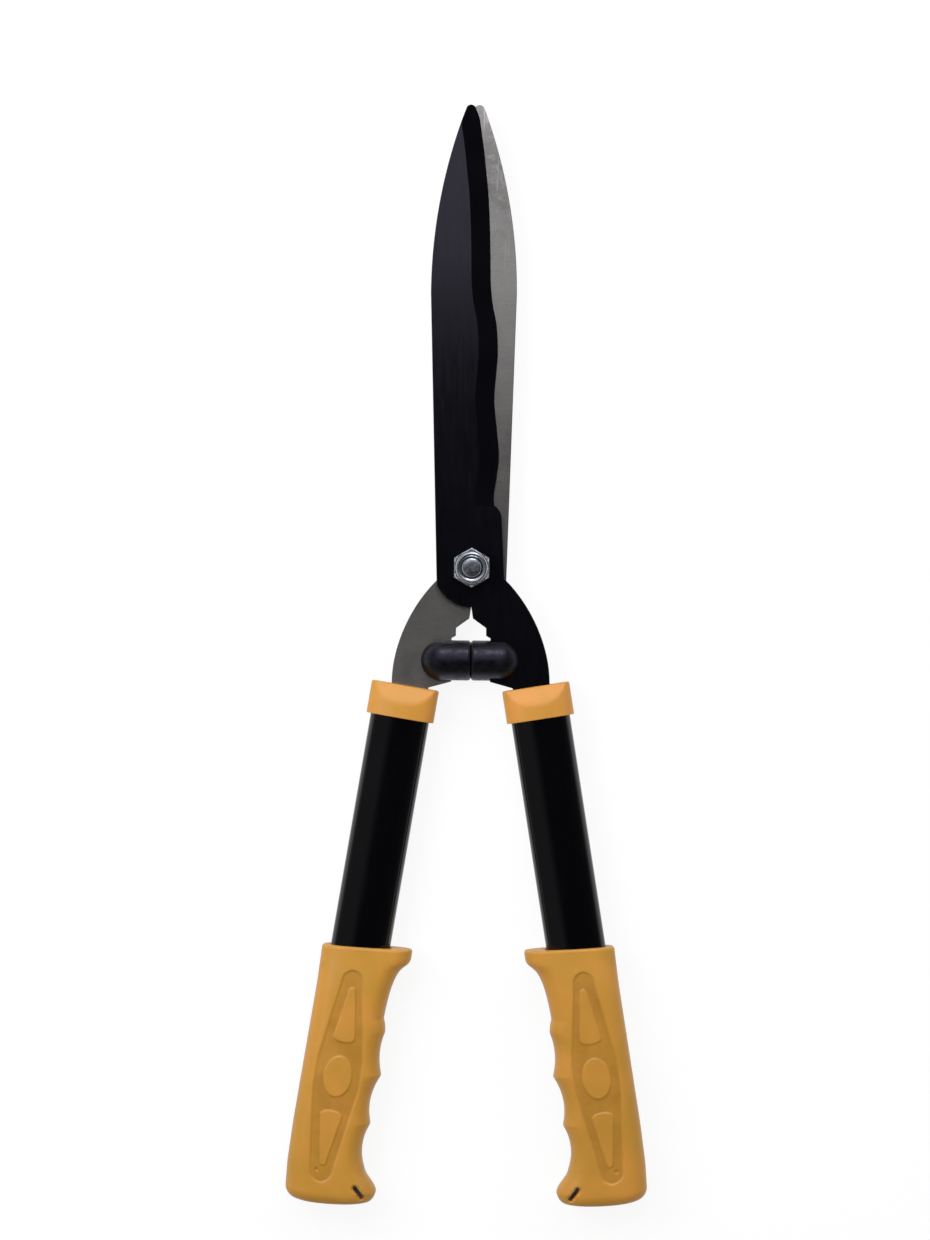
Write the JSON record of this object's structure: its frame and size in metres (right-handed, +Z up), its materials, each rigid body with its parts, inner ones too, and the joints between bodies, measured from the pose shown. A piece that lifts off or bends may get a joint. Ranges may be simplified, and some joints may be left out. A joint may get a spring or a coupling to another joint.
{
  "type": "hedge shears",
  "caption": "Manual hedge shears with wavy-edged blades on one pivot bolt, rubber bumpers, oval tube handles and moulded finger grips.",
  "frame": {"origin": "centre of the lower face of the pivot bolt's head, level with the undersides of the grips", "axes": "the shears lie flat and closed, nut side up: +Y runs from the pivot to the blade tips, +X to the right handle and +Z up, along the pivot bolt to its nut"},
  "size_m": [0.1774, 0.5393, 0.0269],
  "materials": {
    "coated_steel": "smooth black anti-stick coating on steel, satin",
    "ground_steel": "bare steel inner face, finely ground and lightly worn; its outer face is coated black",
    "zinc": "bright zinc plating",
    "nylon": "plain nylon, dark grey",
    "rubber": "matt black moulded rubber",
    "yellow_plastic": "golden yellow moulded plastic with a soft sheen",
    "black_plastic": "plain black moulded plastic",
    "gloss_paint": "gloss black stove enamel on steel tube"
  },
  "bodies": {
    "rear_half": {"rear_blade": "ground_steel", "pivot_bolt": "zinc", "head_washer": "zinc", "pivot_lock_nut": "zinc", "nut_nylon_ring": "nylon", "left_bumper": "rubber", "left_collar": "yellow_plastic", "left_tang_plug": "black_plastic", "left_tang_pin": "zinc", "left_tube": "gloss_paint", "left_grip": "yellow_plastic"},
    "front_half": {"front_blade": "coated_steel", "right_bumper": "rubber", "right_collar": "yellow_plastic", "right_tang_plug": "black_plastic", "right_tang_pin": "zinc", "right_tube": "gloss_paint", "right_grip": "yellow_plastic"}
  },
  "joints": [
    {"name": "blade_pivot", "type": "hinge", "parent": "rear_half", "child": "front_half", "pos_m": [0, 0, 0], "axis": [0, 0, 1], "range_deg": [0, 120]}
  ]
}
